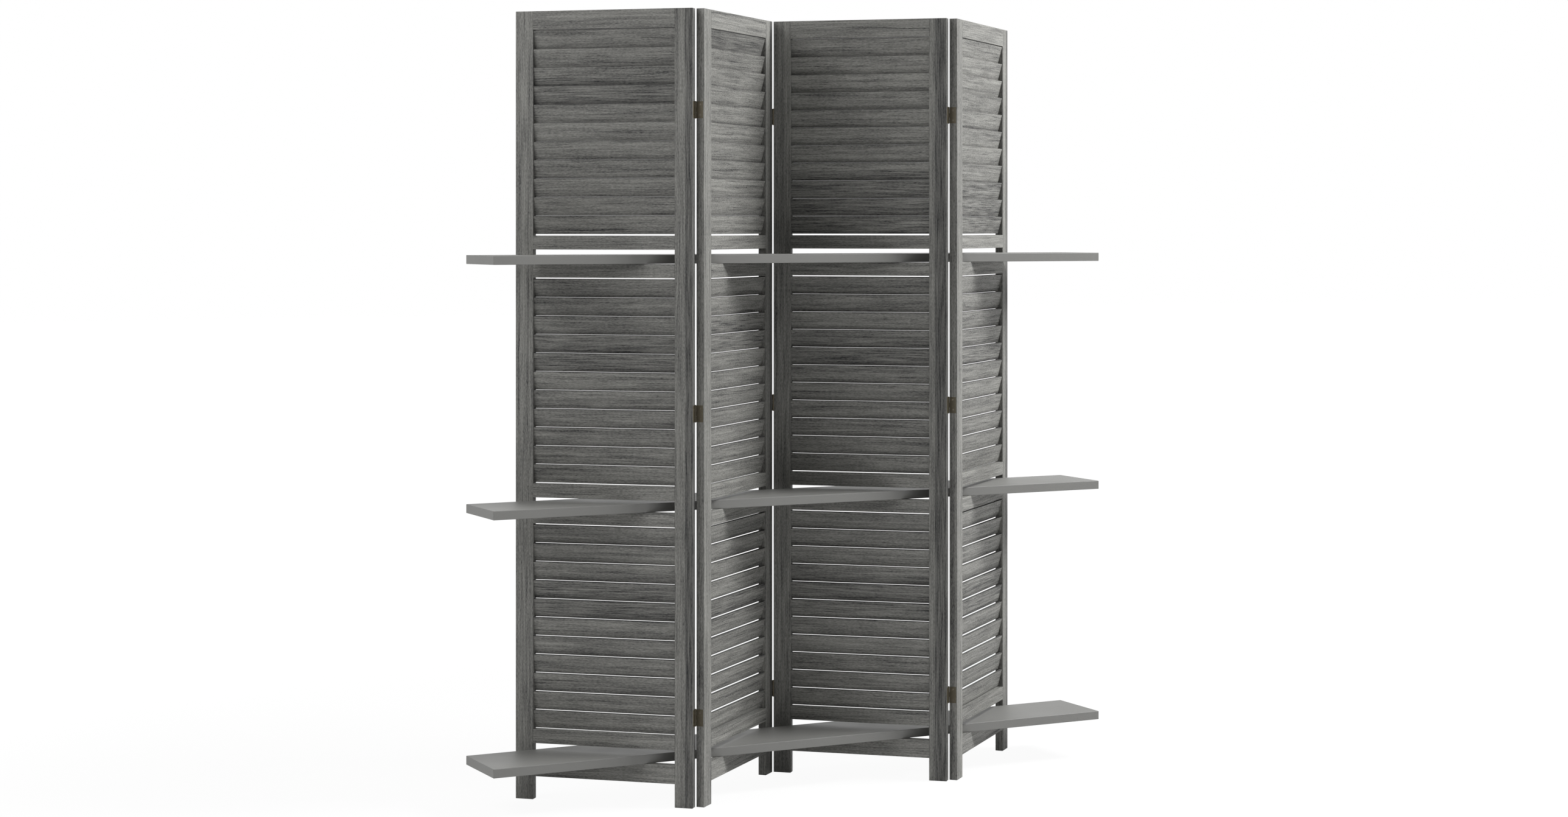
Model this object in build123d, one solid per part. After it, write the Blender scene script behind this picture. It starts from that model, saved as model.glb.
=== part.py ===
from build123d import *
import math
import os

# Louvered folding screen: four hinged panels with fixed slats, and three loose shelf boards that
# pass lengthwise through slots in all of the panels. Millimetres, +Z up. +X runs along the shelves
# and the front of the screen faces -Y. The origin is on the floor at the middle of the bounding box.
# The screen stands folded into a zigzag, with the first panel at the left.
# A panel is modelled in its own frame first: U along its width, V through its thickness with the
# front face at the lower V, and Z up from the floor.

# Panel frame
panel_count = 4
panel_width = 400.0
stile_width = 40.0
frame_thickness = 18.0
foot_height = 50.0
top_rail_height = 40.0
bottom_rail_height = 40.0
shelf_rail_height = 30.0
frame_edge_round = 0.8

# Clear height of the shelf slots
bottom_slot_height = 31.5
middle_slot_height = 26.0
top_slot_height = 30.5

# Louvres
slat_count = 11
slat_pitch = 40.0
slat_width = 39.8
slat_thickness = 5.0
slat_tilt = 14.0
slat_edge_round = 0.2
slat_play = 4.2
gap_under_lower_slats = 2.1
gap_under_middle_slats = 2.0
gap_under_upper_slats = 3.4
slat_mortise_depth = 6.0
slat_mortise_clearance = 0.1

# Dowels that join the rails to the stiles
dowel_diameter = 8.0
dowel_length = 36.0
dowel_chamfer = 1.0
dowel_spacing = 20.0
dowel_radial_clearance = 0.05
dowel_end_clearance = 0.5

# Shelf boards
shelf_length = 1496.0
shelf_depth = 164.0
shelf_thickness = 19.0
shelf_edge_round = 1.0
shelf_setback = 10.8
shelf_seat_clearance = 0.3

# Angle between each panel and the shelves, as the screen stands
fold_angle = 42.15

# Butt hinges, with their leaves let into the edges of the stiles
hinge_height = 36.0
hinge_top_inset = 216.0
hinge_bottom_inset = 190.0
leaf_thickness = 1.2
leaf_reach = 15.3
leaf_clearance = 0.05
knuckle_diameter = 4.0
knuckle_count = 3
knuckle_end_gap = 0.2
knuckle_wood_clearance = 0.1
edge_gap_when_flat = 0.4
pin_diameter = 2.0
pin_radial_clearance = 0.05
pin_head_diameter = 3.2
pin_head_height = 0.6
pin_head_round = 0.4
pin_head_gap = 0.1

# Countersunk screws of the hinges
screws_per_leaf = 2
screw_spacing = 22.0
screw_edge_distance = 8.0
screw_length = 15.0
screw_shank_diameter = 2.5
screw_head_diameter = 5.0
screw_tip_length = 3.0
screw_tip_diameter = 0.6
screw_recess_width = 0.6
screw_recess_length = 2.8
screw_recess_depth = 0.7
screw_clearance = 0.1
pilot_hole_spare = 0.5

# Words for the faces and edges of a panel
FRONT, BACK = -1, 1
LEFT, RIGHT = -1, 1

# Heights up a panel, worked out from the floor
tilt = math.radians(slat_tilt)
slat_rise = slat_width * math.cos(tilt) + slat_thickness * math.sin(tilt)
slat_stack = (slat_count - 1) * slat_pitch + slat_rise
louvre_height = slat_stack + slat_play
slot_floors = []
slot_ceilings = []
louvre_floors = []
level = foot_height + bottom_rail_height
for slot_height in (bottom_slot_height, middle_slot_height, top_slot_height):
    slot_floors.append(level)
    slot_ceilings.append(level + slot_height)
    louvre_floors.append(level + slot_height + shelf_rail_height)
    level = louvre_floors[-1] + louvre_height + shelf_rail_height
top_rail_floor = louvre_floors[-1] + louvre_height
panel_height = top_rail_floor + top_rail_height
rail_length = panel_width - 2 * stile_width

# Hinge pins in the panel's frame, and the panels' spacing along X that follows from them
pin_u = panel_width / 2 + edge_gap_when_flat / 2
pin_v = frame_thickness / 2 + knuckle_diameter / 2 + knuckle_wood_clearance
fold = math.radians(fold_angle)
panel_spacing = 2 * (pin_u * math.cos(fold) + pin_v * math.sin(fold))
hinge_low = hinge_bottom_inset
hinge_high = panel_height - hinge_top_inset
hinge_levels = (hinge_low, (hinge_low + hinge_high) / 2, hinge_high)
knuckle_height = (hinge_height - (knuckle_count - 1) * knuckle_end_gap) / knuckle_count


def box_between(low, high):
    """A box from its lowest corner to its highest one."""
    size = [b - a for a, b in zip(low, high)]
    centre = [(a + b) / 2 for a, b in zip(low, high)]
    return Pos(*centre) * Box(*size)


def along_u(shape, side):
    """Turns a shape that was made along Z so that its upper end points to that side of the panel."""
    return Rot(0, 90 * side, 0) * shape


def in_place(shape, panel):
    """Moves a shape from the panel's frame to where that panel stands in the zigzag."""
    centre_x = (panel - (panel_count - 1) / 2) * panel_spacing
    turn = -fold_angle if panel % 2 == 0 else fold_angle
    return Pos(centre_x, 0, 0) * Rot(0, 0, turn) * shape


def hinge_face(joint):
    """The face that carries the knuckles of a joint: the first joint's are at the back."""
    return BACK if joint % 2 == 0 else FRONT


def hinged_edges(panel):
    """The (edge, face) pairs of a panel that carry hinges."""
    edges = []
    if panel > 0:
        edges.append((LEFT, hinge_face(panel - 1)))
    if panel < panel_count - 1:
        edges.append((RIGHT, hinge_face(panel)))
    return edges


def rail_levels():
    """Lower edge and height of each rail of a panel, named as they are used."""
    levels = {"bottom": [(foot_height, bottom_rail_height)], "top": [(top_rail_floor, top_rail_height)]}
    levels["shelf"] = [(ceiling, shelf_rail_height) for ceiling in slot_ceilings]
    levels["shelf"] += [(floor - shelf_rail_height, shelf_rail_height) for floor in slot_floors[1:]]
    return levels


def dowel_heights(rail_floor, rail_height):
    """One dowel in the middle of a narrow rail, or a pair where the rail has room for two."""
    middle = rail_floor + rail_height / 2
    if rail_height < dowel_spacing + 2 * dowel_diameter:
        return [middle]
    return [middle - dowel_spacing / 2, middle + dowel_spacing / 2]


def dowel_places():
    """U, V and Z of every dowel's middle, which is where a rail's end meets a stile."""
    places = []
    for rails in rail_levels().values():
        for rail_floor, rail_height in rails:
            for height in dowel_heights(rail_floor, rail_height):
                places += [(side * rail_length / 2, 0, height) for side in (LEFT, RIGHT)]
    return places


def dowel():
    pin = Cylinder(dowel_diameter / 2, dowel_length)
    return Rot(0, 90, 0) * chamfer(pin.edges(), dowel_chamfer)


def dowel_hole():
    bore = Cylinder(
        dowel_diameter / 2 + dowel_radial_clearance, dowel_length + 2 * dowel_end_clearance
    )
    return Rot(0, 90, 0) * bore


def slat_places():
    """Middle height of each slat, one list for each louvre from the lowest up."""
    places = []
    gaps = (gap_under_lower_slats, gap_under_middle_slats, gap_under_upper_slats)
    for floor, gap in zip(louvre_floors, gaps):
        first = floor + gap + slat_rise / 2
        places.append([first + k * slat_pitch for k in range(slat_count)])
    return places


def slat():
    """A flat slat with its top edge leaning to the front, let into both stiles."""
    length = rail_length + 2 * (slat_mortise_depth - slat_mortise_clearance)
    board = Box(length, slat_thickness, slat_width)
    board = fillet(board.edges().filter_by(Axis.X), slat_edge_round)
    return Rot(slat_tilt, 0, 0) * board


def slat_mortise(side):
    """The slanted groove that a slat's end fits into."""
    spare = 2 * slat_mortise_clearance
    groove = Box(2 * slat_mortise_depth, slat_thickness + spare, slat_width + spare)
    return Pos(side * rail_length / 2, 0, 0) * Rot(slat_tilt, 0, 0) * groove


def rail(rail_floor, rail_height):
    """A rail between the stiles, flush with both faces, with its dowel holes."""
    half = (rail_length / 2, frame_thickness / 2)
    bar = box_between((-half[0], -half[1], rail_floor), (half[0], half[1], rail_floor + rail_height))
    bar = fillet(bar.edges().filter_by(Axis.X), frame_edge_round)
    holes = []
    for height in dowel_heights(rail_floor, rail_height):
        holes += [Pos(side * rail_length / 2, 0, height) * dowel_hole() for side in (LEFT, RIGHT)]
    return bar - holes


def screw_places(side, face):
    """Where the outer faces of a hinge's screw heads lie, for the hinges of one edge of a panel."""
    v = face * (frame_thickness / 2 - screw_edge_distance)
    first = -(screws_per_leaf - 1) * screw_spacing / 2
    heights = [level + first + k * screw_spacing for level in hinge_levels for k in range(screws_per_leaf)]
    return [Pos(side * panel_width / 2, v, height) for height in heights]


def stile(side, edges):
    """An upright of the frame, grooved for the slats, bored for dowels and cut for its hinges."""
    inner = side * rail_length / 2
    outer = side * panel_width / 2
    low = (min(inner, outer), -frame_thickness / 2, 0)
    high = (max(inner, outer), frame_thickness / 2, panel_height)
    post = box_between(low, high)
    post = fillet(post.edges(), frame_edge_round)
    cuts = [Pos(*place) * dowel_hole() for place in dowel_places() if place[0] * side > 0]
    for heights in slat_places():
        cuts += [Pos(0, 0, height) * slat_mortise(side) for height in heights]
    for face in [face for edge, face in edges if edge == side]:
        cuts += [leaf_recess(side, face, height) for height in hinge_levels]
        cuts += [place * along_u(pilot_hole(), side) for place in screw_places(side, face)]
    return post - cuts


def leaf_recess(side, face, height):
    """The shallow recess in a stile's edge that a hinge leaf lies in, open at the knuckle's face."""
    floor = panel_width / 2 - leaf_thickness - leaf_clearance
    reach = frame_thickness / 2 - leaf_reach - leaf_clearance
    half = hinge_height / 2 + leaf_clearance
    low = (floor, reach, height - half)
    high = (panel_width / 2 + leaf_thickness, frame_thickness, height + half)
    return turned(box_between(low, high), side, face)


def turned(shape, side, face):
    """Mirrors a shape made for the right edge and the back face to any edge and face."""
    if side == LEFT:
        shape = mirror(shape, Plane.YZ)
    if face == FRONT:
        shape = mirror(shape, Plane.XZ)
    return shape


def knuckle_places(side):
    """Middle heights of the knuckles of one leaf. Those of the panel at the joint's left are outer."""
    first = -hinge_height / 2 + knuckle_height / 2
    start = 0 if side == RIGHT else 1
    step = knuckle_height + knuckle_end_gap
    return [first + k * step for k in range(start, knuckle_count, 2)]


def leaf(side, face, height):
    """A hinge leaf: its plate in the stile's edge, and the knuckles that it rolls into."""
    outer = panel_width / 2
    inner = outer - leaf_thickness
    back = frame_thickness / 2
    metal = box_between((inner, back - leaf_reach, -hinge_height / 2), (outer, back, hinge_height / 2))
    for middle in knuckle_places(side):
        low = (inner, back - leaf_reach / 2, middle - knuckle_height / 2)
        high = (outer, pin_v, middle + knuckle_height / 2)
        metal += box_between(low, high)
        metal += Pos(pin_u, pin_v, middle) * Cylinder(knuckle_diameter / 2, knuckle_height)
    metal -= Pos(pin_u, pin_v, 0) * Cylinder(pin_diameter / 2 + pin_radial_clearance, 2 * hinge_height)
    metal = Pos(0, 0, height) * turned(metal, side, face)
    return metal - [place * along_u(screw_hole(), side) for place in screw_places(side, face)]


def hinge_pin(side, face, height):
    """A hinge pin with a low rounded head at each end."""
    rod = Cylinder(pin_diameter / 2, hinge_height + 2 * pin_head_gap)
    head_middle = hinge_height / 2 + pin_head_gap + pin_head_height / 2
    for end in (-1, 1):
        head = Cylinder(pin_head_diameter / 2, pin_head_height)
        rim = head.edges().sort_by(Axis.Z)[-1 if end > 0 else 0]
        rod += Pos(0, 0, end * head_middle) * fillet(rim, pin_head_round)
    return Pos(side * pin_u, face * pin_v, height) * rod


def screw_head_height():
    """A countersunk head of 90 degrees is as high as its edge stands out from the shank."""
    return (screw_head_diameter - screw_shank_diameter) / 2


def below_zero(shape, top, height):
    """Lowers a shape made about its middle so that its upper end is at that height."""
    return Pos(0, 0, top - height / 2) * shape


def screw():
    """A countersunk screw along Z with the top of its head at zero and a cross recess."""
    head_height = screw_head_height()
    shank_length = screw_length - head_height - screw_tip_length
    shank = screw_shank_diameter / 2
    body = below_zero(Cone(shank, screw_head_diameter / 2, head_height), 0, head_height)
    body += below_zero(Cylinder(shank, shank_length), -head_height, shank_length)
    tip = Cone(screw_tip_diameter / 2, shank, screw_tip_length)
    body += below_zero(tip, -head_height - shank_length, screw_tip_length)
    recess = Box(screw_recess_length, screw_recess_width, 2 * screw_recess_depth)
    return body - [recess, Rot(0, 0, 90) * recess]


def screw_hole():
    """The countersunk hole of a leaf."""
    head_height = screw_head_height()
    shank = screw_shank_diameter / 2 + screw_clearance
    cone = Cone(shank, screw_head_diameter / 2 + screw_clearance, head_height)
    return below_zero(cone, 0, head_height) + below_zero(Cylinder(shank, screw_length), 0, screw_length)


def pilot_hole():
    """The hole that a screw is driven into."""
    depth = screw_length + pilot_hole_spare
    return below_zero(Cylinder(screw_shank_diameter / 2 + screw_clearance, depth), 0, depth)


def shelf(slot_floor):
    """A shelf board lying on the rails under its slot."""
    board = Box(shelf_length, shelf_depth, shelf_thickness)
    board = fillet(board.edges(), shelf_edge_round)
    return Pos(0, shelf_setback, slot_floor + shelf_seat_clearance + shelf_thickness / 2) * board


def panel_nodes(panel):
    """Every piece that stays with one panel, apart from the hinges, in the panel's frame."""
    rails = rail_levels()
    edges = hinged_edges(panel)
    lower, middle, upper = slat_places()
    pieces = {
        "left_stile": [stile(LEFT, edges)],
        "right_stile": [stile(RIGHT, edges)],
        "top_rail": [rail(*rails["top"][0])],
        "bottom_rail": [rail(*rails["bottom"][0])],
        "shelf_rails": [rail(*levels) for levels in rails["shelf"]],
        "lower_slats": [Pos(0, 0, height) * slat() for height in lower],
        "middle_slats": [Pos(0, 0, height) * slat() for height in middle],
        "upper_slats": [Pos(0, 0, height) * slat() for height in upper],
        "dowels": [Pos(*place) * dowel() for place in dowel_places()],
        "hinge_screws": [
            place * along_u(screw(), side) for side, face in edges for place in screw_places(side, face)
        ],
    }
    return {f"panel_{panel + 1}_{name}": solids for name, solids in pieces.items()}


def hinge_nodes(joint):
    """The leaves and pins of the three hinges of a joint, in the frames of the panels they are on."""
    face = hinge_face(joint)
    name = f"hinges_{joint + 1}_{joint + 2}"
    return {
        (f"{name}_left_leaves", joint): [leaf(RIGHT, face, height) for height in hinge_levels],
        (f"{name}_pins", joint): [hinge_pin(RIGHT, face, height) for height in hinge_levels],
        (f"{name}_right_leaves", joint + 1): [leaf(LEFT, face, height) for height in hinge_levels],
    }


def write(name, solids):
    """Writes one node, as a single solid or as a group of separate ones."""
    shape = solids[0] if len(solids) == 1 else Compound(solids)
    export_step(shape, f"parts/{name}.step")


os.makedirs("parts", exist_ok=True)
for panel in range(panel_count):
    for name, solids in panel_nodes(panel).items():
        write(name, [in_place(solid, panel) for solid in solids])
for joint in range(panel_count - 1):
    for (name, panel), solids in hinge_nodes(joint).items():
        write(name, [in_place(solid, panel) for solid in solids])
for name, slot_floor in zip(("bottom_shelf", "middle_shelf", "top_shelf"), slot_floors):
    write(name, [shelf(slot_floor)])
print("panel height", round(panel_height, 2), "spacing", round(panel_spacing, 2))
print("slot floors", [round(v, 2) for v in slot_floors], "louvre floors", [round(v, 2) for v in louvre_floors])
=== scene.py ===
# %% [markdown]
# This script dresses a louvered folding screen: four hinged wooden panels, and three long boards that
# pass through slots in all of them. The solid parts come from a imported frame, at their real size and
# place. Here they get their finishes, their light and a camera, and no part is moved or reshaped.

import math

import bmesh
import bpy
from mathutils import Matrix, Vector


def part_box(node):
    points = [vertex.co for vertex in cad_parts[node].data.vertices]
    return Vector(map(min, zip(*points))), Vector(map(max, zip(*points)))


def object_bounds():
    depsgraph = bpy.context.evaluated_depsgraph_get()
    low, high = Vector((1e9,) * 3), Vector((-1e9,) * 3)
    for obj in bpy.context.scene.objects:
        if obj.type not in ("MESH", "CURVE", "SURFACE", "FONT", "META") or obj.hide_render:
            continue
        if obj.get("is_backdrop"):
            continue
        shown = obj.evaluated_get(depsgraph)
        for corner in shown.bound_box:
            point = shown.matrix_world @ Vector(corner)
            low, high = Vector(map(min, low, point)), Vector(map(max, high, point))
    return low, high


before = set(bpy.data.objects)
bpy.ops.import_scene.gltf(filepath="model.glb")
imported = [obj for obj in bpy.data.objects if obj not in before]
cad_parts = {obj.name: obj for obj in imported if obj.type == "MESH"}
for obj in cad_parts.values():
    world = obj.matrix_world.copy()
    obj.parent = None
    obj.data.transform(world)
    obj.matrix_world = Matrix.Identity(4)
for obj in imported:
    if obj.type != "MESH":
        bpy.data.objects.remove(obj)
cad_low, cad_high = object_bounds()
print("the screen stands", round(cad_high.z, 3), "m high and has", len(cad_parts), "parts")

# %% [markdown]
# The photographer stood to the left of the screen, a little above its middle, with a level camera. With
# a level camera upright edges stay parallel, and the picture is framed by sliding the sensor down, which
# is what shift_y does. Tilting the camera instead would make the stiles lean.

# %% Camera
PHOTO_WIDTH, PHOTO_HEIGHT = 2576, 1342
FOCAL_PIXELS = 4419.6
HORIZON_ROW = 373.4
SENSOR_WIDTH = 36.0
CAMERA_PLACE = (-2.7317, -5.3217, 1.2339)
CAMERA_TURN = math.radians(-26.86)

camera_data = bpy.data.cameras.new("camera")
camera_data.sensor_width = SENSOR_WIDTH
camera_data.lens = FOCAL_PIXELS / PHOTO_WIDTH * SENSOR_WIDTH
camera_data.shift_y = (HORIZON_ROW - PHOTO_HEIGHT / 2) / PHOTO_WIDTH
camera = bpy.data.objects.new("camera", camera_data)
camera.location = CAMERA_PLACE
camera.rotation_euler = (math.radians(90), 0, CAMERA_TURN)
bpy.context.scene.collection.objects.link(camera)
bpy.context.scene.camera = camera
print("lens", round(camera_data.lens, 2), "mm, shift", round(camera_data.shift_y, 4))

# %% [markdown]
# The panels that face right are much brighter than those that face left, and their shadows are soft. So
# the main light is a large panel of light to the right, well above the middle of the screen. A weaker one
# at the left lights the other faces from the side, and a small near one and a faint surround fill in.

# %% Light
def light_panel(name, azimuth, elevation, distance, size, power):
    """A square lamp that looks at the middle of the screen; azimuth 0 is straight in front, 90 right."""
    a, e = math.radians(azimuth), math.radians(elevation)
    middle = (cad_low + cad_high) / 2
    away = Vector((math.sin(a) * math.cos(e), -math.cos(a) * math.cos(e), math.sin(e)))
    data = bpy.data.lights.new(name, "AREA")
    data.size = size
    data.energy = power
    lamp = bpy.data.objects.new(name, data)
    lamp.location = middle + away * distance
    lamp.rotation_euler = away.to_track_quat("Z", "Y").to_euler()
    bpy.context.scene.collection.objects.link(lamp)
    print(name, "at", [round(c, 2) for c in lamp.location])
    return lamp


light_panel("main_light", 63, 40, 4.5, 1.5, 242)
light_panel("side_light", -92, 40, 4.5, 1.8, 57)
light_panel("near_light", -70, 22, 2.6, 1.0, 8)

# %% [markdown]
# A shader is a graph of nodes, and long formulas are tiring to wire by hand. The two small classes below
# let Python write them: a Value stands for one output, and adding or multiplying Values adds the Math
# nodes that do it. A Finish is one material with its graph.

# %% Node helpers
class Value:
    """One output of a node, which Python's operators work on."""

    def __init__(self, graph, socket):
        self.graph = graph
        self.socket = socket

    def math(self, operation, a, b=0.0):
        return self.graph.add("ShaderNodeMath", {"operation": operation}, {0: a, 1: b})

    def __add__(self, other):
        return self.math("ADD", self, other)

    def __sub__(self, other):
        return self.math("SUBTRACT", self, other)

    def __rsub__(self, other):
        return self.math("SUBTRACT", other, self)

    def __mul__(self, other):
        return self.math("MULTIPLY", self, other)

    def __truediv__(self, other):
        return self.math("DIVIDE", self, other)

    __radd__ = __add__
    __rmul__ = __mul__

    def floor(self):
        return self.math("FLOOR", self)


class Graph:
    """A graph of nodes, and the one way that nodes are put in it."""

    def __init__(self, tree):
        self.tree = tree

    def add(self, kind, settings=None, inputs=None, output=0):
        """Adds a node, sets it, fills or links its inputs, and returns one of its outputs."""
        node = self.tree.nodes.new(kind)
        for key, value in (settings or {}).items():
            setattr(node, key, value)
        for key, value in (inputs or {}).items():
            self.put(node.inputs[key], value)
        return Value(self, node.outputs[output])

    def put(self, socket, value):
        if isinstance(value, Value):
            self.tree.links.new(value.socket, socket)
        else:
            socket.default_value = value

    def between(self, value, low, high, new_low=0.0, new_high=1.0):
        """value's way from low to high, eased at both ends and kept between new_low and new_high."""
        inputs = {"Value": value, 1: low, 2: high, 3: new_low, 4: new_high}
        return self.add("ShaderNodeMapRange", {"interpolation_type": "SMOOTHSTEP"}, inputs)

    def seen(self):
        """1 for what the camera sees, straight or by way of a shiny or clear surface, and 0 otherwise."""
        kinds = ("Is Camera Ray", "Is Glossy Ray", "Is Transmission Ray")
        return sum(self.add("ShaderNodeLightPath", output=kind) for kind in kinds)


class Finish(Graph):
    """A material and its node graph."""

    def __init__(self, name):
        self.material = bpy.data.materials.new(name)
        self.material.use_nodes = True
        super().__init__(self.material.node_tree)
        self.shader = self.tree.nodes["Principled BSDF"]

    def surface(self, **sockets):
        """Fills the surface shader's own sockets; Base_Color means Base Color."""
        for key, value in sockets.items():
            self.put(self.shader.inputs[key.replace("_", " ")], value)

    def paint(self, *nodes):
        """Gives this finish to parts of the screen."""
        for node in nodes:
            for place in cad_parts[node].material_slots:
                place.material = self.material


print("node helpers ready")

# %% [markdown]
# The panels stand at an angle to the room, so a pattern along the room's axes would cross them aslant. A
# Mapping node of the Texture kind undoes a place and a turn: it gives each panel its own axes, with u
# along its width, v through its thickness and w up, here in millimetres.

# %% Panel axes
PANEL_TURN = math.radians(42.15)
MILLIMETRE = 0.001
PANELS = (1, 2, 3, 4)


def panel_axes(finish, panel):
    """The point's u, v and w on that panel, in millimetres."""
    low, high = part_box(f"panel_{panel}_top_rail")
    centre = (low + high) / 2
    turn = -PANEL_TURN if panel % 2 else PANEL_TURN
    here = finish.add("ShaderNodeTexCoord", output="Object")
    inputs = {
        "Vector": here,
        "Location": (centre.x, centre.y, 0.0),
        "Rotation": (0.0, 0.0, turn),
        "Scale": (MILLIMETRE,) * 3,
    }
    own = finish.add("ShaderNodeMapping", {"vector_type": "TEXTURE"}, inputs)
    parts = [finish.add("ShaderNodeSeparateXYZ", None, {0: own}, axis) for axis in range(3)]
    return parts


# %% [markdown]
# The wood is a straight-grained timber under a grey wash. Three things make its look: fine fibres that
# are far longer than wide, short dark pores between them, and slow wavy streaks. Each is one noise that
# is stretched along the grain. A picture of wood could do this too, but noise never repeats, and it runs
# through the solid, so a board's edge carries on its face's grain.

# %% Grey-washed wood
def stretched(finish, along, across, through, length, width, detail=2.0, roughness=0.5, bend=0.0):
    """A noise whose blots are that long and wide, in millimetres."""
    inputs = {0: along / length, 1: across / width, 2: through / width}
    place = finish.add("ShaderNodeCombineXYZ", None, inputs)
    inputs = {"Vector": place, "Scale": 1.0, "Detail": detail, "Roughness": roughness, "Distortion": bend}
    return finish.add("ShaderNodeTexNoise", None, inputs)


WASH_DARK = (0.022, 0.022, 0.024, 1.0)
WASH_PALE = (0.330, 0.328, 0.306, 1.0)
WOOD_SHINE = 0.25
BOARD_STEP_ALONG, BOARD_STEP_ACROSS = 613.0, 97.0
WAVE_HEIGHT = 9.0
MEAN_SHADE = 0.63


def wood(finish, along, across, through, board, tone, coarse=0.0):
    """Grey-washed wood with its grain along one axis; board tells one piece's figure from another's, and
    coarse is how much stronger the lines of its grain are."""
    along = along + board * BOARD_STEP_ALONG
    across = across + board * BOARD_STEP_ACROSS
    wave = stretched(finish, along, across, through, 190.0, 40.0)
    across = across + wave * WAVE_HEIGHT
    flecks = stretched(finish, along, across, through, 6.5, 1.5, 2.0, 0.6)
    lines = stretched(finish, along, across, through, 75.0, 2.4, 2.0, 0.55)
    streaks = stretched(finish, along, across, through, 260.0, 7.0, 2.0, 0.55, 0.5)
    bands = stretched(finish, along, across, through, 700.0, 9.0, 1.0)
    clouds = stretched(finish, along, across, through, 170.0, 24.0, 1.0)
    pores = stretched(finish, along, across, through, 15.0, 1.3, 0.0)
    streak = finish.between(streaks, 0.55, 0.74)
    pore = finish.between(pores, 0.66, 0.78)
    fine = (flecks - 0.5) * 1.15 + (lines - 0.5) * (0.95 + coarse * 1.3)
    slow = (clouds - 0.5) * 0.45 + (bands - 0.5) * 0.60
    shade = MEAN_SHADE + fine + slow - streak * 0.26 - pore * 0.22
    stops = {0: shade * tone, 6: WASH_DARK, 7: WASH_PALE}
    colour = finish.add("ShaderNodeMix", {"data_type": "RGBA"}, stops, 2)
    height = flecks * 0.6 + lines * 0.5 - pore * 0.6
    normal = finish.add("ShaderNodeBump", None, {"Strength": 0.4, "Distance": 0.0005, "Height": height})
    finish.surface(Base_Color=colour, Roughness=0.60 - fine * 0.35, Normal=normal)
    finish.surface(Specular_IOR_Level=WOOD_SHINE)


print("wood under a wash from", WASH_DARK[1], "to", WASH_PALE[1])

# %% [markdown]
# Stiles run upright and rails lie across, so their grain does too. The right stile of a panel shows two
# strips of different tone, the outer one darker and with coarser grain. One finish holds both strips,
# parted by the distance across the panel, since no joint line is to be seen between them.

# %% Frames
DARK_STRIP_START = {1: 183.0, 2: 184.0, 3: 173.0, 4: 184.0}
STRIP_EDGE = 1.2
STRIP_DARKNESS = 0.50
RAIL_TONE = 1.02
RAIL_SPACING = 200.0

for panel in PANELS:
    for number, side in enumerate(("left", "right")):
        stile = Finish(f"wood_panel_{panel}_{side}_stile")
        u, v, w = panel_axes(stile, panel)
        strip = 0.0
        if side == "right":
            start = DARK_STRIP_START[panel]
            strip = stile.between(u, start, start + STRIP_EDGE)
        wood(stile, w, u, v, panel * 3 + number, 1 - strip * STRIP_DARKNESS, strip)
        stile.paint(f"panel_{panel}_{side}_stile")
    rails = Finish(f"wood_panel_{panel}_rails")
    u, v, w = panel_axes(rails, panel)
    rail_number = (w / RAIL_SPACING).floor()
    wood(rails, u, w, v, rail_number + panel * 11, RAIL_TONE)
    rails.paint(f"panel_{panel}_top_rail", f"panel_{panel}_bottom_rail", f"panel_{panel}_shelf_rails")
    print("panel", panel, "frame painted")

# %% [markdown]
# Each louvre holds eleven slats, and neighbours differ a little in tone. The slats lie at a steady pitch:
# the depth below the louvre's top, divided by the pitch and rounded down, is the slat's number, and a
# white noise turns that number into a tone of its own. The timber also has darker belts, some slats wide,
# where the grain is coarser. Each louvre has one, given as slats counted from the top and its darkness.
# The top edge of each slat is painted darker, a painted shade for the thin shadow in the gap under the
# slat above, and each slat is painted darker towards its foot, a painted shade where shade gathers.

# %% Slats
SLAT_PITCH = 40.0
SLATS = 11
DARK_BELTS = {
    (1, "upper"): (2.6, 4.0, 0.27),
    (1, "middle"): (3.1, 4.9, 0.22),
    (1, "lower"): (3.2, 5.0, 0.22),
    (2, "upper"): (0.0, 1.0, 0.34),
    (2, "middle"): (2.3, 3.8, 0.24),
    (2, "lower"): (4.0, 5.2, 0.20),
    (3, "upper"): (7.45, 11.0, 0.30),
    (3, "middle"): (3.4, 5.3, 0.22),
    (3, "lower"): (3.6, 5.6, 0.24),
    (4, "upper"): (8.0, 11.0, 0.26),
    (4, "middle"): (3.6, 5.0, 0.24),
    (4, "lower"): (4.0, 5.6, 0.20),
}
BELT_EDGE = 0.12
# Painted shade: the dark line at each slat's top edge, its width as a share of the pitch and its tone.
TOP_SHADE_WIDTH, TOP_PAINTED_SHADE = 0.045, 0.30
# Painted shade: each slat is darker towards its foot, from where the darkening starts and how dark it
# gets.
FOOT_SHADE_START, FOOT_PAINTED_SHADE = 0.70, 0.88
COARSE_IN_BELT = 0.8
LOUVRE_TONES = {(3, "upper"): 1.10}

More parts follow.
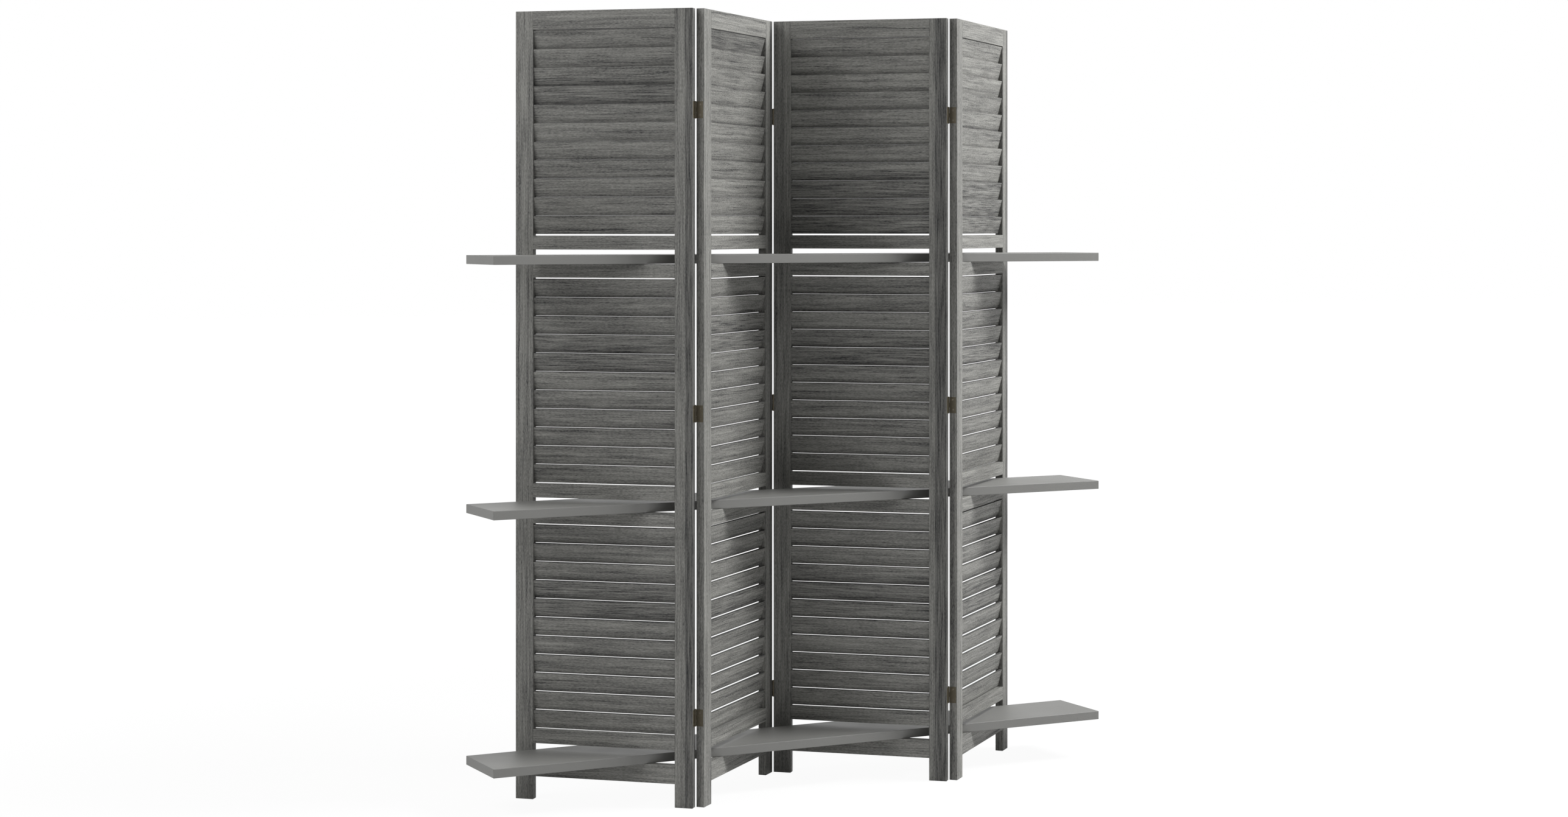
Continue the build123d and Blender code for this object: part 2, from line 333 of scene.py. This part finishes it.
for (panel, section), (belt_top, belt_foot, darkness) in DARK_BELTS.items():
    node = f"panel_{panel}_{section}_slats"
    low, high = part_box(node)
    middle = (low.z + high.z) / 2 / MILLIMETRE
    slats = Finish(f"wood_{node}")
    u, v, w = panel_axes(slats, panel)
    place = (middle + SLATS * SLAT_PITCH / 2 - w) / SLAT_PITCH
    number = place.floor()
    seed = number + panel * 20
    chance = slats.add("ShaderNodeTexWhiteNoise", {"noise_dimensions": "1D"}, {"W": seed})
    belt = slats.between(place, belt_top - BELT_EDGE, belt_top) - slats.between(
        place, belt_foot, belt_foot + BELT_EDGE
    )
    # Painted shade: the slat's top edge is darkened where the gap under the slat above lies in shadow.
    top_painted_shade = slats.between(place - number, TOP_SHADE_WIDTH / 2, TOP_SHADE_WIDTH, TOP_PAINTED_SHADE, 1.0)
    # Painted shade: each slat darkens towards its foot, where shade gathers.
    foot_painted_shade = slats.between(place - number, FOOT_SHADE_START, 1.0, 1.0, FOOT_PAINTED_SHADE)
    louvre_tone = LOUVRE_TONES.get((panel, section), 1.0)
    # The tone holds the slat's own tone and belt, and the painted shade at its top edge and foot.
    tone = (0.95 + chance * 0.13) * (1 - belt * darkness) * top_painted_shade * foot_painted_shade * louvre_tone
    wood(slats, u, w, v, seed, tone, belt * COARSE_IN_BELT)
    slats.paint(node)
    print(node, "painted")

# %% [markdown]
# The shelves are plain board with a smooth grey paint. Paint on board is never quite even: a roller
# leaves a faint orange peel, which a fine noise gives, and a slow noise makes soft patches of tone.

# %% Shelf boards
SHELF_DARK = (0.176, 0.176, 0.169, 1.0)
SHELF_PALE = (0.239, 0.238, 0.227, 1.0)


def shelf_finish(name):
    paint = Finish(f"paint_{name}")
    here = paint.add("ShaderNodeTexCoord", output="Object")
    peel = paint.add("ShaderNodeTexNoise", None, {"Vector": here, "Scale": 900.0, "Detail": 2.0})
    clouds = paint.add("ShaderNodeTexNoise", None, {"Vector": here, "Scale": 9.0, "Detail": 3.0})
    level = 0.5 + (peel - 0.5) * 0.5 + (clouds - 0.5) * 0.35
    stops = {0: level, 6: SHELF_DARK, 7: SHELF_PALE}
    colour = paint.add("ShaderNodeMix", {"data_type": "RGBA"}, stops, 2)
    normal = paint.add("ShaderNodeBump", None, {"Strength": 0.25, "Distance": 0.0002, "Height": peel})
    paint.surface(Base_Color=colour, Roughness=0.5 + (clouds - 0.5) * 0.2, Normal=normal)
    paint.paint(name)


for name in ("bottom_shelf", "middle_shelf", "top_shelf"):
    shelf_finish(name)
    print(name, "painted")

# %% [markdown]
# The hinges are small butt hinges in a dark bronze. Such a finish is a thin brown layer on metal, so it
# is metallic, dull, and rubbed a little brighter in patches.

# %% Metal
def metal(name, dark, bright, roughness, nodes):
    finish = Finish(name)
    here = finish.add("ShaderNodeTexCoord", output="Object")
    patches = finish.add("ShaderNodeTexNoise", None, {"Vector": here, "Scale": 140.0, "Detail": 4.0})
    scratches = finish.add("ShaderNodeTexNoise", None, {"Vector": here, "Scale": 1500.0, "Detail": 1.0})
    rubbed = finish.between(patches, 0.48, 0.68)
    colour = finish.add("ShaderNodeMix", {"data_type": "RGBA"}, {0: rubbed, 6: dark, 7: bright}, 2)
    bump = {"Strength": 0.3, "Distance": 0.0001, "Height": scratches + patches}
    normal = finish.add("ShaderNodeBump", None, bump)
    finish.surface(Base_Color=colour, Metallic=0.45, Normal=normal)
    finish.surface(Roughness=roughness + (patches - 0.5) * 0.3)
    finish.paint(*nodes)
    print(name, "on", len(nodes), "nodes")


hinge_nodes = [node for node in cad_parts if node.startswith("hinges_")]
screw_nodes = [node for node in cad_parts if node.endswith("_hinge_screws")]
metal("bronze", (0.085, 0.073, 0.048, 1.0), (0.102, 0.087, 0.058, 1.0), 0.50, hinge_nodes)
metal("screw_metal", (0.10, 0.085, 0.06, 1.0), (0.24, 0.21, 0.16, 1.0), 0.35, screw_nodes)

# %% [markdown]
# Dowels hide inside the joints. They are bare wood, in case the screen is shown taken apart.

# %% Dowels
for panel in PANELS:
    bare = Finish(f"bare_wood_panel_{panel}_dowels")
    u, v, w = panel_axes(bare, panel)
    fibres = stretched(bare, u, w, v, 12.0, 0.7, 2.0)
    pair = {0: fibres, 6: (0.38, 0.26, 0.15, 1.0), 7: (0.62, 0.47, 0.30, 1.0)}
    bare.surface(Base_Color=bare.add("ShaderNodeMix", {"data_type": "RGBA"}, pair, 2))
    bare.surface(Roughness=0.6 + (fibres - 0.5) * 0.2)
    bare.paint(f"panel_{panel}_dowels")
print("dowels painted")

# %% [markdown]
# The background is pure white. The floor is a wide pale sheet that keeps a faint shadow: for the camera
# it is mostly a white glow, which Light Path's ray kinds switch on, and for the screen's own light it is
# an ordinary pale floor. Farther out the glow takes over, so that no horizon shows.

# %% Floor and surround
FLOOR_SIZE = 60.0

WHITE = (1.0, 1.0, 1.0, 1.0)
PALE = (0.75, 0.75, 0.75, 1.0)
GLOW_SHARE = 0.92
GLOW_STRENGTH = 1.03
GLOW_FADE = (1.2, 3.2)
SURROUND = 0.17

sheet = bmesh.new()
bmesh.ops.create_grid(sheet, x_segments=1, y_segments=1, size=FLOOR_SIZE / 2)
mesh = bpy.data.meshes.new("floor")
sheet.to_mesh(mesh)
sheet.free()
floor = bpy.data.objects.new("floor", mesh)
bpy.context.scene.collection.objects.link(floor)
floor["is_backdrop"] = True
pale = Finish("pale_floor")
pale.surface(Base_Color=PALE, Roughness=0.9)
glow = pale.add("ShaderNodeEmission", None, {"Color": WHITE, "Strength": GLOW_STRENGTH})
lit = Value(pale, pale.shader.outputs[0])
here = pale.add("ShaderNodeTexCoord", output="Object")
distance = pale.add("ShaderNodeVectorMath", {"operation": "LENGTH"}, {0: here}, "Value")
share = pale.between(distance, *GLOW_FADE, GLOW_SHARE, 1.0)
mixed = pale.add("ShaderNodeMixShader", None, {0: pale.seen() * share, 1: lit, 2: glow})
pale.put(pale.tree.nodes["Material Output"].inputs["Surface"], mixed)
mesh.materials.append(pale.material)

world = bpy.data.worlds.new("surround")
bpy.context.scene.world = world
world.use_nodes = True
around = Graph(world.node_tree)
sky = world.node_tree.nodes["Background"]
around.put(sky.inputs["Color"], WHITE)
around.put(sky.inputs["Strength"], around.seen() * (1 - SURROUND) + SURROUND)
print("floor", FLOOR_SIZE, "m wide, surround", SURROUND)

# %% [markdown]
# The Standard view shows the colours as they are worked out, so a grey can be matched by its number. The
# screen's size is measured again once it is dressed.

# %% Colours and sizes
bpy.context.scene.view_settings.view_transform = "Standard"
low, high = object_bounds()
